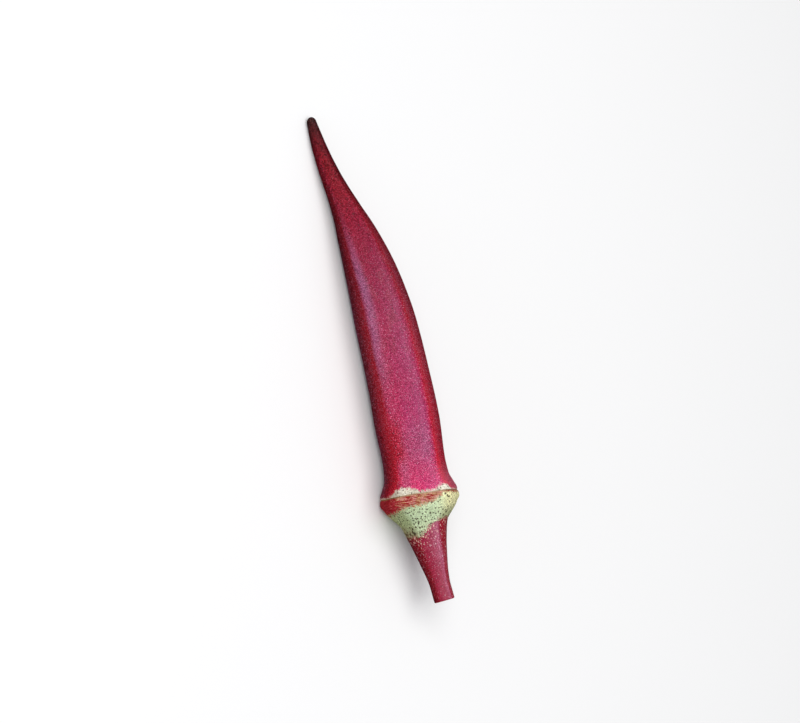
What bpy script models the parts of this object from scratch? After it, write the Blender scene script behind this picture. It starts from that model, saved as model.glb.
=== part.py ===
"""An okra pod with its cap and cut stalk, lying on a surface. Metres, +Z up, beak towards -X.

The whole pod grew as one piece, so it is one solid. A turned blank gives its lengthwise outline, and a
formula presses the five ribs and the flat faces between them. The axis is bent, and the pod is laid on three
low points.
"""

import math

import bpy
import numpy as np
from mathutils import Matrix, Vector

# Driving sizes. A station is a distance along the bent axis from the ring that the calyx left, positive
# towards the beak. Every radius runs from the axis to a rib.
POD_LENGTH = 0.139
STALK_LENGTH = 0.037
BODY_RADIUS = 0.0121
RING_RADIUS = 0.0145
STALK_RADIUS = 0.0035
TIP_RADIUS = 0.0017

RIBS = 5
RIB_STEP = 2 * math.pi / RIBS
CREST_HEIGHT = 0.00012
CREST_WIDTH = math.radians(6)
FACE_HOLLOW = 0.00045
RIB_GATHER = 0.5
TWIST = math.radians(4)

# The lengthwise outline: (share of POD_LENGTH from the ring, share of BODY_RADIUS).
POD_OUTLINE = (
    (0.010, 1.160),
    (0.025, 1.085),
    (0.050, 0.970),
    (0.090, 0.935),
    (0.190, 0.978),
    (0.300, 0.955),
    (0.440, 0.920),
    (0.520, 0.850),
    (0.600, 0.748),
    (0.680, 0.600),
    (0.750, 0.440),
    (0.810, 0.342),
    (0.880, 0.265),
    (0.950, 0.190),
)
# The ring's lip: (distance from the ring towards the beak, share of RING_RADIUS).
LIP_OUTLINE = (
    (-0.0032, 0.930),
    (-0.0022, 0.982),
    (-0.0012, 1.000),
    (-0.0003, 0.988),
    (0.0002, 0.975),
)
# The cap and stalk: (share of STALK_LENGTH from the ring, share of RING_RADIUS).
CAP_OUTLINE = (
    (0.970, 0.249),
    (0.860, 0.248),
    (0.740, 0.280),
    (0.600, 0.350),
    (0.460, 0.429),
    (0.350, 0.505),
    (0.260, 0.580),
    (0.190, 0.725),
    (0.130, 0.860),
)
TIP_ROUNDING = 0.0019
# The cut end flares a little, has a fine bevel and is dished from this share of its radius inwards.
CUT_FLARE = 1.03
CUT_BEVEL = 0.0003
CUT_DISH = 0.0004
DISH_SHARE = 0.6

# How strongly a cross-section is ribbed, by station share: -1 is the cut end, 0 the ring and 1 the tip.
# A power of 3 is a round section. The higher the power, the flatter the faces.
FACE_POWER = (
    (-1.00, 3.6),
    (-0.50, 3.8),
    (-0.25, 4.6),
    (-0.06, 8.0),
    (0.00, 11.0),
    (0.05, 12.0),
    (0.12, 13.0),
    (0.70, 13.0),
    (0.85, 8.0),
    (1.00, 4.0),
)

# How much of the crest and of the hollow each station has. Both die out on the cap and on the beak.
CREST_FADE = (
    (-0.08, 0),
    (0.00, 0.5),
    (0.15, 1),
    (0.70, 1),
    (0.90, 0),
)
HOLLOW_FADE = (
    (-0.12, 0),
    (0.00, 1),
    (0.12, 0.4),
    (0.60, 0.3),
    (0.85, 0),
)

# The axis leans by these angles, in degrees, towards the viewer's lower side, as the stations run.
LEAN = (
    (-1.00, 6.2),
    (-0.40, 3.4),
    (0.00, -1.0),
    (0.25, 1.5),
    (0.45, 4.8),
    (0.65, 11.4),
    (0.80, 15.3),
    (0.90, 10.5),
    (1.00, 4.5),
)
# The bend's plane holds the face that is seen broadside: it lies half a rib step below the horizontal.
BEND_DIRECTION = Vector((0, -math.cos(RIB_STEP / 2), -math.sin(RIB_STEP / 2)))
SIDEWAYS = Vector((0, math.sin(RIB_STEP / 2), -math.cos(RIB_STEP / 2)))
# The axis also leans across the bend's plane, in degrees, which lifts the cut end of the stalk a little.
STALK_LIFT = (
    (-1.00, 1.5),
    (0.00, 0.0),
    (1.00, 0.0),
)

# The lying pose: turned about +Y until the ring's two lower corners and the beak touch the surface, then
# about +Z until it lies along X.
PITCH = math.radians(-0.75)
YAW = math.radians(-4.5)
FLAT_DEPTH = 0.0002

SIDES = 60
BODY_STATIONS = 40
# Above 1, the body's stations crowd towards the ring, where the outline flares.
STATION_CROWDING = 1.35
CAP_STATIONS = 18
LIP_STATIONS = 9
ROUNDING_STATIONS = 5
AXIS_STATIONS = 400
MERGE_DISTANCE = 0.00001
NEARLY_ZERO = 1e-9

SKIN_COLOUR = (0.36, 0.020, 0.055, 1)
SKIN_ROUGHNESS = 0.5


def clear_scene():
    for old in list(bpy.data.objects):
        bpy.data.objects.remove(old, do_unlink=True)


def smooth_through(keys, at):
    """Values at the given places of a smooth curve through the keys, with no overshoot between them."""
    places, values = (np.array(column, float) for column in zip(*sorted(keys)))
    gaps = np.diff(places)
    slopes = np.diff(values) / gaps
    # A key's tangent is the harmonic mean of the slopes beside it, and level where they change sign.
    before, after = slopes[:-1], slopes[1:]
    same_way = before * after > 0
    inner = np.where(same_way, 2 * before * after / np.where(same_way, before + after, 1), 0.0)
    tangents = np.concatenate([slopes[:1], inner, slopes[-1:]])
    at = np.clip(np.asarray(at, float), places[0], places[-1])
    span = np.clip(np.searchsorted(places, at, side="right") - 1, 0, len(gaps) - 1)
    t = (at - places[span]) / gaps[span]
    return (
        values[span] * (1 + 2 * t) * (1 - t) ** 2
        + values[span + 1] * t**2 * (3 - 2 * t)
        + gaps[span] * t * (1 - t) * (tangents[span] * (1 - t) - tangents[span + 1] * t)
    )


def outline_keys():
    """Every key of the lengthwise outline, as (station, radius) in metres."""
    pod = [(share * POD_LENGTH, part * BODY_RADIUS) for share, part in POD_OUTLINE]
    lip = [(place, part * RING_RADIUS) for place, part in LIP_OUTLINE]
    cap = [(-share * STALK_LENGTH, part * RING_RADIUS) for share, part in CAP_OUTLINE]
    ends = [
        (POD_LENGTH - TIP_ROUNDING, TIP_RADIUS),
        (-STALK_LENGTH + CUT_BEVEL, STALK_RADIUS * CUT_FLARE),
    ]
    return pod + lip + cap + ends


def outline():
    """The outline to turn, as (station, radius) pairs from the tip to the middle of the cut end."""
    lip_low = LIP_OUTLINE[0][0]
    lip_high = LIP_OUTLINE[-1][0]
    tip_start = POD_LENGTH - TIP_ROUNDING
    cut_start = -STALK_LENGTH + CUT_BEVEL
    spread = np.linspace(0, 1, BODY_STATIONS + 1) ** STATION_CROWDING
    stations = np.concatenate(
        [
            (lip_high + (tip_start - lip_high) * spread)[::-1],
            np.linspace(lip_high, lip_low, LIP_STATIONS)[1:],
            np.linspace(lip_low, cut_start, CAP_STATIONS + 1)[1:],
        ]
    )
    side = list(zip(stations, smooth_through(outline_keys(), stations)))
    quarter = [math.pi / 2 * i / ROUNDING_STATIONS for i in range(1, ROUNDING_STATIONS)]
    tip = [
        (tip_start + TIP_ROUNDING * math.sin(a), TIP_RADIUS * math.cos(a))
        for a in reversed(quarter)
    ]
    cut_radius = side[-1][1]
    cut = [
        (-STALK_LENGTH, cut_radius - CUT_BEVEL),
        (-STALK_LENGTH + CUT_DISH / 2, cut_radius * DISH_SHARE),
        (-STALK_LENGTH + CUT_DISH, 0.0),
    ]
    return [(POD_LENGTH, 0.0)] + tip + side + cut


def turned_blank(points):
    """A closed round blank about +Z from the outline, made by a Screw modifier on a wire."""
    wire = bpy.data.meshes.new("outline")
    edges = [(i, i + 1) for i in range(len(points) - 1)]
    wire.from_pydata([(radius, 0, station) for station, radius in points], edges, [])
    blank = bpy.data.objects.new("okra_pod", wire)
    bpy.context.scene.collection.objects.link(blank)
    screw = blank.modifiers.new("turn", "SCREW")
    screw.steps = screw.render_steps = SIDES
    screw.use_merge_vertices = True
    screw.merge_threshold = MERGE_DISTANCE
    graph = bpy.context.evaluated_depsgraph_get()
    mesh = bpy.data.meshes.new_from_object(blank.evaluated_get(graph))
    blank.modifiers.clear()
    blank.data = mesh
    bpy.data.meshes.remove(wire)
    return blank


def station_share(stations):
    """Stations as a share: -1 at the cut end, 0 at the ring and 1 at the tip."""
    return np.where(stations < 0, stations / STALK_LENGTH, stations / POD_LENGTH)


def ribbed(angle, share):
    """The cross-section's radius at an angle from the top rib, as a share of its radius to a rib."""
    power = smooth_through(FACE_POWER, share)

    def soft_polygon(turn):
        total = 0
        for i in range(RIBS):
            facing = np.cos(turn - (i + 0.5) * RIB_STEP)
            total = total + np.maximum(facing, 0) ** power
        return total ** (-1 / power)

    return soft_polygon(angle) / soft_polygon(np.zeros_like(angle))


def crest(angle, share):
    """How far a narrow crest along each rib stands up."""
    off = (angle + RIB_STEP / 2) % RIB_STEP - RIB_STEP / 2
    return CREST_HEIGHT * smooth_through(CREST_FADE, share) * np.exp(-((off / CREST_WIDTH) ** 2))


def hollow(angle, share):
    """How deep each face dips between its ribs. It dips most at the ring, whose corners stand out."""
    return FACE_HOLLOW * smooth_through(HOLLOW_FADE, share) * (1 - np.cos(RIBS * angle)) / 2


def bent_axis():
    """Stations along the axis with its points and directions. The ring's centre is the zero point."""
    stations = np.linspace(-STALK_LENGTH, POD_LENGTH, AXIS_STATIONS)
    share = station_share(stations)
    lean = np.radians(smooth_through(LEAN, share))
    lift = np.radians(smooth_through(STALK_LIFT, share))
    ahead = np.array((-1.0, 0.0, 0.0))
    heading = (
        np.outer(np.cos(lean) * np.cos(lift), ahead)
        + np.outer(np.sin(lean), BEND_DIRECTION)
        + np.outer(np.sin(lift), SIDEWAYS)
    )
    steps = (heading[1:] + heading[:-1]) / 2 * np.diff(stations)[:, None]
    points = np.concatenate([np.zeros((1, 3)), np.cumsum(steps, axis=0)])
    ring = np.array([np.interp(0, stations, points[:, i]) for i in range(3)])
    return stations, points - ring, heading


def shaped(points):
    """The turned blank's points with ribs pressed and the axis bent."""
    stations = points[:, 2]
    share = station_share(stations)
    angle = np.arctan2(points[:, 1], points[:, 0])
    # The points gather towards the ribs, which are the sharpest bends of the section.
    angle = angle - RIB_GATHER * np.sin(RIBS * angle) / RIBS
    radius = np.hypot(points[:, 0], points[:, 1])
    rib_radius = np.maximum(smooth_through(outline_keys(), stations), NEARLY_ZERO)
    on_side = np.minimum(radius / rib_radius, 1)
    radius = radius * ribbed(angle, share) + (crest(angle, share) - hollow(angle, share)) * on_side

    axis_stations, axis_points, heading = bent_axis()

    def along(table):
        return np.stack([np.interp(stations, axis_stations, table[:, i]) for i in range(3)], axis=1)

    ahead = along(heading)
    ahead /= np.linalg.norm(ahead, axis=1)[:, None]
    across = np.cross((0.0, 0.0, 1.0), ahead)
    across /= np.linalg.norm(across, axis=1)[:, None]
    upward = np.cross(ahead, across)
    turn = angle + TWIST * share
    return (
        along(axis_points)
        + upward * (radius * np.cos(turn))[:, None]
        + across * (radius * np.sin(turn))[:, None]
    )


def laid_down(points):
    """The points in the lying pose, the lowest just under the surface and the box centred on the origin."""
    turn = Matrix.Rotation(YAW, 3, "Z") @ Matrix.Rotation(PITCH, 3, "Y")
    points = points @ np.array(turn).T
    low, high = points.min(axis=0), points.max(axis=0)
    middle = (low + high) / 2
    return points - np.array((middle[0], middle[1], low[2] + FLAT_DEPTH))


def flatten_foot(pod):
    """Cuts the three low points level, so that they rest on the surface as small flat spots."""
    size = 2 * (POD_LENGTH + STALK_LENGTH)
    bpy.ops.mesh.primitive_cube_add(size=size, location=(0, 0, -size / 2))
    cutter = bpy.context.object
    cutter.name = "surface_cutter"
    cutter.hide_render = True
    cutter.display_type = "WIRE"
    cut = pod.modifiers.new("flat_foot", "BOOLEAN")
    cut.operation = "DIFFERENCE"
    cut.object = cutter
    return cutter


def skin_material():
    skin = bpy.data.materials.new("okra_skin")
    skin.use_nodes = True
    shader = skin.node_tree.nodes["Principled BSDF"]
    shader.inputs["Base Color"].default_value = SKIN_COLOUR
    shader.inputs["Roughness"].default_value = SKIN_ROUGHNESS
    shader.inputs["Metallic"].default_value = 0
    return skin


def move_to(collection_name, obj):
    collection = bpy.data.collections.get(collection_name) or bpy.data.collections.new(collection_name)
    if collection.name not in bpy.context.scene.collection.children:
        bpy.context.scene.collection.children.link(collection)
    for old in list(obj.users_collection):
        old.objects.unlink(obj)
    collection.objects.link(obj)


def main():
    clear_scene()
    pod = turned_blank(outline())
    mesh = pod.data
    points = np.empty(len(mesh.vertices) * 3)
    mesh.vertices.foreach_get("co", points)
    placed = laid_down(shaped(points.reshape(-1, 3)))
    mesh.vertices.foreach_set("co", placed.ravel())
    mesh.update()
    mesh.materials.append(skin_material())
    mesh.shade_smooth()
    cutter = flatten_foot(pod)
    move_to("okra pod", pod)
    move_to("cutters", cutter)


main()
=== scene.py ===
# %% [markdown]
# # A red okra pod, dressed for its picture
# The pod was built first as one plain solid, with its ribs, ring, cap and stalk. This script loads that
# solid, grows a finer skin in exactly the same place, paints it the way the real skin is coloured, and sets
# bristles on it. Lengths are in metres unless a name ends in _mm.

# %% Load the solid pod
import math

import bmesh
import bpy
import numpy as np
from mathutils import Matrix, Vector, noise


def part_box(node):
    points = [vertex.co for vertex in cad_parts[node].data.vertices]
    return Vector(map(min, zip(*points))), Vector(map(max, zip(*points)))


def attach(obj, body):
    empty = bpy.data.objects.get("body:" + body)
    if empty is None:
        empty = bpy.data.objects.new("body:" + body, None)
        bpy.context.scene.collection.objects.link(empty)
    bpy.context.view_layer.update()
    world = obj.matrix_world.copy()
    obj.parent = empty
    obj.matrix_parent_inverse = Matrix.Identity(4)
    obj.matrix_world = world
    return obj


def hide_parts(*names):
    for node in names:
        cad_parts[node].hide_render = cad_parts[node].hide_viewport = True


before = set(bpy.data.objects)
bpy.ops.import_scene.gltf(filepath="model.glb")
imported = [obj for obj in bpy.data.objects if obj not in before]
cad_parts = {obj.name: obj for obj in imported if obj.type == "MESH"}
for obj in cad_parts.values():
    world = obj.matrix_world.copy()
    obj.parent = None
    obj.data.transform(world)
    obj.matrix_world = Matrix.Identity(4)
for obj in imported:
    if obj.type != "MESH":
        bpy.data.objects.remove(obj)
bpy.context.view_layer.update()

# %% [markdown]
# ## The pod's measures
# The fine skin must lie where the solid lies, so it is made from the same few sizes. A place on the pod is
# told by its station, the distance along the bent axis from the ring that the calyx left. Stations grow
# towards the beak and are negative on the cap and stalk. Each outline key is a share of the length and a
# share of a radius. Only the lip's keys start with a station.

# %% Sizes of the pod
POD_LENGTH = 0.139
STALK_LENGTH = 0.037
BODY_RADIUS = 0.0121
RING_RADIUS = 0.0145
STALK_RADIUS = 0.0035
TIP_RADIUS = 0.0017
TIP_ROUNDING = 0.0019
CUT_BEVEL = 0.0003
CUT_DISH = 0.0004
CUT_FLARE = 1.03
CUT_MARGIN = 0.00002
RIBS = 5
RIB_STEP = 2 * math.pi / RIBS
CREST_HEIGHT = 0.00012
CREST_WIDTH = math.radians(6)
FACE_HOLLOW = 0.00045
TWIST = math.radians(4)

POD_OUTLINE = (
    (0.010, 1.160), (0.025, 1.085), (0.050, 0.970), (0.090, 0.935), (0.190, 0.978), (0.300, 0.955),
    (0.440, 0.920), (0.520, 0.850), (0.600, 0.748), (0.680, 0.600), (0.750, 0.440), (0.810, 0.342),
    (0.880, 0.265), (0.950, 0.190),
)
LIP_OUTLINE = ((-0.0032, 0.930), (-0.0022, 0.982), (-0.0012, 1.000), (-0.0003, 0.988), (0.0002, 0.975))
CAP_OUTLINE = (
    (0.970, 0.249), (0.860, 0.248), (0.740, 0.280), (0.600, 0.350), (0.460, 0.429), (0.350, 0.505),
    (0.260, 0.580), (0.190, 0.725), (0.130, 0.860),
)

# %% Flatness and bend along the pod
# Each key is a share of the length (-1 cut end, 0 ring, 1 tip) and a value there.
FACE_POWER = (
    (-1.00, 3.6), (-0.50, 3.8), (-0.25, 4.6), (-0.06, 8.0), (0.00, 11.0), (0.05, 12.0), (0.12, 13.0),
    (0.70, 13.0), (0.85, 8.0), (1.00, 4.0),
)
CREST_FADE = ((-0.08, 0), (0.0, 0.5), (0.15, 1), (0.7, 1), (0.9, 0))
HOLLOW_FADE = ((-0.12, 0), (0.0, 1), (0.12, 0.4), (0.6, 0.3), (0.85, 0))
LEAN_DEGREES = (
    (-1.00, 6.2), (-0.40, 3.4), (0.00, -1.0), (0.25, 1.5), (0.45, 4.8), (0.65, 11.4), (0.80, 15.3),
    (0.90, 10.5), (1.00, 4.5),
)
# Across the bend the axis is straight, except that the stalk's cut end is lifted.
STALK_LIFT_DEGREES = ((-1.00, 1.5), (0.00, 0.0), (1.00, 0.0))
PITCH = math.radians(-0.75)
YAW = math.radians(-4.5)
FLAT_DEPTH = 0.0002

# %% [markdown]
# ## A smooth curve through a few keys
# The outline, the lean and the flatness are each a handful of keys. A cubic through them that never
# overshoots gives the values in between, so the skin has no waves that the keys don't ask for.

# %% Smooth values between keys
NEARLY_ZERO = 1e-30


def smooth_through(keys, at):
    """Values at the given places of a smooth curve through the keys."""
    places, values = (np.array(column, float) for column in zip(*sorted(keys)))
    gaps = np.diff(places)
    slopes = np.diff(values) / gaps
    before, after = slopes[:-1], slopes[1:]
    same_way = before * after > 0
    inner = np.where(same_way, 2 * before * after / (before + after + NEARLY_ZERO), 0.0)
    tangents = np.concatenate([slopes[:1], inner, slopes[-1:]])
    at = np.clip(np.asarray(at, float), places[0], places[-1])
    span = np.clip(np.searchsorted(places, at, side="right") - 1, 0, len(gaps) - 1)
    t = (at - places[span]) / gaps[span]
    ends = values[span] * (1 + 2 * t) * (1 - t) ** 2 + values[span + 1] * t**2 * (3 - 2 * t)
    return ends + gaps[span] * t * (1 - t) * (tangents[span] * (1 - t) - tangents[span + 1] * t)


TIP_START = POD_LENGTH - TIP_ROUNDING
CUT_START = -STALK_LENGTH + CUT_BEVEL
RADIUS_KEYS = (
    [(share * POD_LENGTH, part * BODY_RADIUS) for share, part in POD_OUTLINE]
    + [(place, part * RING_RADIUS) for place, part in LIP_OUTLINE]
    + [(-share * STALK_LENGTH, part * RING_RADIUS) for share, part in CAP_OUTLINE]
    + [(TIP_START, TIP_RADIUS), (CUT_START, STALK_RADIUS * CUT_FLARE)]
)
shown_stations = [0, POD_LENGTH / 2]
shown_radii = smooth_through(RADIUS_KEYS, shown_stations) * 1000
print("radius at the ring %.1f mm, at mid body %.1f mm" % tuple(shown_radii))

# %% [markdown]
# ## From a round blank to a lying pod
# A pod is round only where it starts. Its cross-section is a five-sided softened polygon, found here by
# adding five cosine lobes, each raised to a power: the higher the power, the flatter the faces. The section
# is then carried along the bent axis. The same function places the skin and, later, the foot of every
# bristle.

# %% Ribs and faces of the cross-section
def ribbed(angle, share):
    """The section's radius at an angle from the top rib, as a share of its radius to a rib."""
    power = smooth_through(FACE_POWER, share)

    def soft_polygon(turn):
        lobes = [np.maximum(np.cos(turn - (i + 0.5) * RIB_STEP), 0) ** power for i in range(RIBS)]
        return sum(lobes) ** (-1 / power)

    return soft_polygon(angle) / soft_polygon(np.zeros_like(angle))


def crest_and_hollow(angle, share):
    """The narrow crest on each rib, less the shallow dip of each face."""
    off_rib = (angle + RIB_STEP / 2) % RIB_STEP - RIB_STEP / 2
    crest = CREST_HEIGHT * smooth_through(CREST_FADE, share) * np.exp(-((off_rib / CREST_WIDTH) ** 2))
    return crest - FACE_HOLLOW * smooth_through(HOLLOW_FADE, share) * (1 - np.cos(RIBS * angle)) / 2


# %% The bent axis
AXIS_STATIONS = 400
BEND_DIRECTION = Vector((0, -math.cos(RIB_STEP / 2), -math.sin(RIB_STEP / 2)))
SIDEWAYS = Vector((0, math.sin(RIB_STEP / 2), -math.cos(RIB_STEP / 2)))


def station_share(station):
    return np.where(station < 0, station / STALK_LENGTH, station / POD_LENGTH)


def bent_axis():
    """Stations along the axis with its points and directions, the ring's centre at zero."""
    station = np.linspace(-STALK_LENGTH, POD_LENGTH, AXIS_STATIONS)
    lean = np.radians(smooth_through(LEAN_DEGREES, station_share(station)))
    lift = np.radians(smooth_through(STALK_LIFT_DEGREES, station_share(station)))
    heading = (
        np.outer(np.cos(lean) * np.cos(lift), (-1.0, 0.0, 0.0))
        + np.outer(np.sin(lean), BEND_DIRECTION)
        + np.outer(np.sin(lift), SIDEWAYS)
    )
    steps = (heading[1:] + heading[:-1]) / 2 * np.diff(station)[:, None]
    points = np.concatenate([np.zeros((1, 3)), np.cumsum(steps, axis=0)])
    ring_centre = np.array([np.interp(0, station, points[:, i]) for i in range(3)])
    return station, points - ring_centre, heading


axis_station, axis_points, axis_heading = bent_axis()
print("the tip is %.1f mm off the ring's straight line" % (1000 * np.linalg.norm(axis_points[-1][1:])))

# %% [markdown]
# ## Small unevenness
# A grown pod is never true. Slow noise lifts and dips the skin by about a tenth of a millimetre, and the
# scar line round the ring wavers a little and has a fine groove, where the calyx broke away.

# %% Unevenness and the scar's groove
SWELL_HEIGHT = 0.00012
SWELL_SIZE = 0.011
RIPPLE_HEIGHT = 0.000035
RIPPLE_SIZE = 0.0024
LENGTHWISE_SQUEEZE = 0.6
FULLY_UNEVEN_RADIUS = 0.004
NOISE_SHIFT = (7.3, 3.1, 5.7)
SCAR_STATION = 0.0004
SCAR_DEPTH = 0.00022
SCAR_WIDTH = 0.00028
SCAR_WAVER = 0.00035
SCAR_WAVER_SIZE = 0.55


def slow_noise(places, size, seed):
    """Noise between -1 and 1 at the given places, with features of the given size."""
    shift = Vector([seed * part for part in NOISE_SHIFT])
    return np.array([noise.noise(Vector(p) / size + shift) for p in places])


def scar_line(angle):
    """The station of the scar line at each angle: it wavers round the ring."""
    circle = np.stack([np.cos(angle), np.sin(angle), np.zeros_like(angle)], axis=1)
    return SCAR_STATION + SCAR_WAVER * slow_noise(circle, SCAR_WAVER_SIZE, seed=4)


def uneven(station, angle, radius):
    """How far the skin stands off its true place."""
    sideways, upwards = radius * np.sin(angle), radius * np.cos(angle)
    straight = np.stack([upwards, sideways, station * LENGTHWISE_SQUEEZE], axis=1)
    swell = SWELL_HEIGHT * slow_noise(straight, SWELL_SIZE, seed=1)
    ripple = RIPPLE_HEIGHT * slow_noise(straight, RIPPLE_SIZE, seed=2)
    groove = SCAR_DEPTH * np.exp(-(((station - scar_line(angle)) / SCAR_WIDTH) ** 2))
    return (swell + ripple) * np.clip(radius / FULLY_UNEVEN_RADIUS, 0, 1) - groove


# %% Carry a straight pod's points into the lying pose
LYING = np.array(Matrix.Rotation(YAW, 3, "Z") @ Matrix.Rotation(PITCH, 3, "Y"))
SMALLEST_RADIUS = 1e-9


def onto_axis(station, angle, radius):
    """Points of the bent pod, turned as it lies, with the ring's centre at zero."""
    share = station_share(station)
    true_radius = np.maximum(smooth_through(RADIUS_KEYS, station), SMALLEST_RADIUS)
    on_side = np.minimum(radius / true_radius, 1)
    radius = radius * ribbed(angle, share) + crest_and_hollow(angle, share) * on_side
    radius = radius + uneven(station, angle, radius) * on_side

    def at_stations(table):
        return np.stack([np.interp(station, axis_station, table[:, i]) for i in range(3)], axis=1)

    ahead = at_stations(axis_heading)
    ahead /= np.linalg.norm(ahead, axis=1)[:, None]
    across = np.cross((0.0, 0.0, 1.0), ahead)
    across /= np.linalg.norm(across, axis=1)[:, None]
    upward = np.cross(ahead, across)
    turn = angle + TWIST * share
    offset = upward * (radius * np.cos(turn))[:, None] + across * (radius * np.sin(turn))[:, None]
    return (at_stations(axis_points) + offset) @ LYING.T


# %% [markdown]
# ## The skin's mesh
# A potter would turn this: an outline of a few hundred points is spun once round the axis, then every point
# is pressed and bent into place. Stations crowd round the ring, where the lip, the groove and the ragged
# colours are, and points gather towards the ribs, the sharpest bends of the section.

# %% Outline of the fine skin
SKIN_SIDES = 160
RIB_GATHER = 0.5
LIP_REACH = 0.004
LIP_STEPS = 70
BODY_STEPS = 300
CAP_STEPS = 130
ROUNDING_STEPS = 14
CUT_STEPS = 12


def fine_outline():
    """(station, radius) pairs from the tip's point to the middle of the cut end."""
    body = np.linspace(TIP_START, LIP_REACH, BODY_STEPS)
    lip = np.linspace(LIP_REACH, -LIP_REACH, LIP_STEPS)[1:]
    cap = np.linspace(-LIP_REACH, CUT_START, CAP_STEPS)[1:]
    station = np.concatenate([body, lip, cap])
    side = list(zip(station, smooth_through(RADIUS_KEYS, station)))
    quarter = [math.pi / 2 * i / ROUNDING_STEPS for i in range(1, ROUNDING_STEPS)]
    tip = [(TIP_START + TIP_ROUNDING * math.sin(a), TIP_RADIUS * math.cos(a)) for a in reversed(quarter)]
    cut_radius = side[-1][1]
    shares = [1 - i / CUT_STEPS for i in range(CUT_STEPS)]
    cut = [(-STALK_LENGTH + CUT_DISH * (1 - s**2), (cut_radius - CUT_BEVEL) * s) for s in shares]
    return [(POD_LENGTH, 0.0)] + tip + side + cut + [(-STALK_LENGTH + CUT_DISH, 0.0)]


# %% Spin the outline and press it into shape
MERGE_DISTANCE = 1e-7


def spun_blank(outline, sides):
    """A round closed mesh about Z, its stations along Z."""
    blank = bmesh.new()
    corners = [blank.verts.new((radius, 0, station)) for station, radius in outline]
    for first, second in zip(corners, corners[1:]):
        blank.edges.new((first, second))
    bmesh.ops.spin(
        blank, geom=blank.verts[:] + blank.edges[:], cent=(0, 0, 0), axis=(0, 0, 1),
        angle=2 * math.pi, steps=sides, use_merge=True,
    )
    bmesh.ops.remove_doubles(blank, verts=blank.verts[:], dist=MERGE_DISTANCE)
    bmesh.ops.recalc_face_normals(blank, faces=blank.faces[:])
    return blank


def new_piece(name, mesh_source):
    """Turns a bmesh into a shown, smooth-shaded object."""
    mesh = bpy.data.meshes.new(name)
    mesh_source.to_mesh(mesh)
    mesh_source.free()
    piece = bpy.data.objects.new(name, mesh)
    bpy.context.scene.collection.objects.link(piece)
    mesh.shade_smooth()
    return piece


def read_points(mesh):
    points = np.empty(len(mesh.vertices) * 3)
    mesh.vertices.foreach_get("co", points)
    return points.reshape(-1, 3)


skin = new_piece("pod_skin", spun_blank(fine_outline(), SKIN_SIDES))
blank_points = read_points(skin.data)
blank_angle = np.arctan2(blank_points[:, 1], blank_points[:, 0])
skin_angle = blank_angle - RIB_GATHER * np.sin(RIBS * blank_angle) / RIBS
skin_station = blank_points[:, 2]
skin_radius = np.hypot(blank_points[:, 0], blank_points[:, 1])
turned_skin = onto_axis(skin_station, skin_angle, skin_radius)

# %% Set it down where the solid lies
# The skin is centred over the solid and sunk a little, so that its lowest corners become small flat spots.
box_low, box_high = (np.array(corner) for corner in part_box("okra_pod"))
low, high = turned_skin.min(axis=0), turned_skin.max(axis=0)
settle = np.array([*(box_low + box_high)[:2] / 2 - (low + high)[:2] / 2, box_low[2] - FLAT_DEPTH - low[2]])


def set_down(turned):
    """Points moved to the solid's place, flat where they touch the surface."""
    placed = turned + settle
    placed[:, 2] = np.maximum(placed[:, 2], box_low[2])
    return placed


def lay_down(station, angle, radius):
    """Points of the lying pod."""
    return set_down(onto_axis(station, angle, radius))


skin.data.vertices.foreach_set("co", set_down(turned_skin).ravel())
skin.data.update()
print("skin: %d faces, moved to fit by" % len(skin.data.polygons), np.round(settle * 1000, 2), "mm")

# %% [markdown]
# ## What the paint needs to know
# A material can't see ribs or stations by itself, so each point of the skin carries them. Near the ring,
# coloured zones go right round the pod and have ragged edges. The width of each zone is worked out here as
# a smooth function of the angle round the pod, in degrees from the top rib, and the material only adds the
# fine raggedness.

# %% Zone widths round the pod
def round_keys(keys, angle):
    """Values at the given angles of a closed smooth curve through (degrees round the pod, value) keys."""
    repeated = [(degrees + turn, value) for turn in (-360, 0, 360) for degrees, value in keys]
    return smooth_through(repeated, np.degrees(angle))


CREAM_WIDTH_MM = (
    (-150, 0.5), (-110, 1.9), (-70, 0.4), (-33, 0.2), (-13, 0.9), (-4, 2.0), (5, 2.2), (13, 1.0), (28, 0.7),
    (40, 0.7), (48, 1.7), (56, 2.3), (66, 2.9), (76, 2.6), (90, 1.2), (108, 0.5), (135, 0.4), (165, 2.2),
    (190, 1.6),
)
BAND_WIDTH_MM = (
    (-150, 2.8), (-120, 3.4), (-90, 1.6), (-50, 0.0), (3, 0.0), (10, 1.0), (18, 2.0), (27, 2.7), (40, 3.1),
    (70, 3.5), (84, 4.1), (100, 4.6), (130, 4.6), (170, 3.2),
)
GREEN_WIDTH_MM = (
    (-150, 12.0), (-100, 10.0), (-50, 9.2), (-10, 8.7), (15, 9.7), (35, 11.0), (50, 12.7), (65, 13.7),
    (130, 13.4), (175, 11.5),
)
along_mm = skin_station * 1000
cream_mm = round_keys(CREAM_WIDTH_MM, skin_angle)
band_mm = round_keys(BAND_WIDTH_MM, skin_angle)
green_mm = round_keys(GREEN_WIDTH_MM, skin_angle)
on_cut = skin_station < CUT_START - CUT_MARGIN
print("cream rim from %.1f to %.1f mm wide" % (cream_mm.min(), cream_mm.max()))
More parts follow.
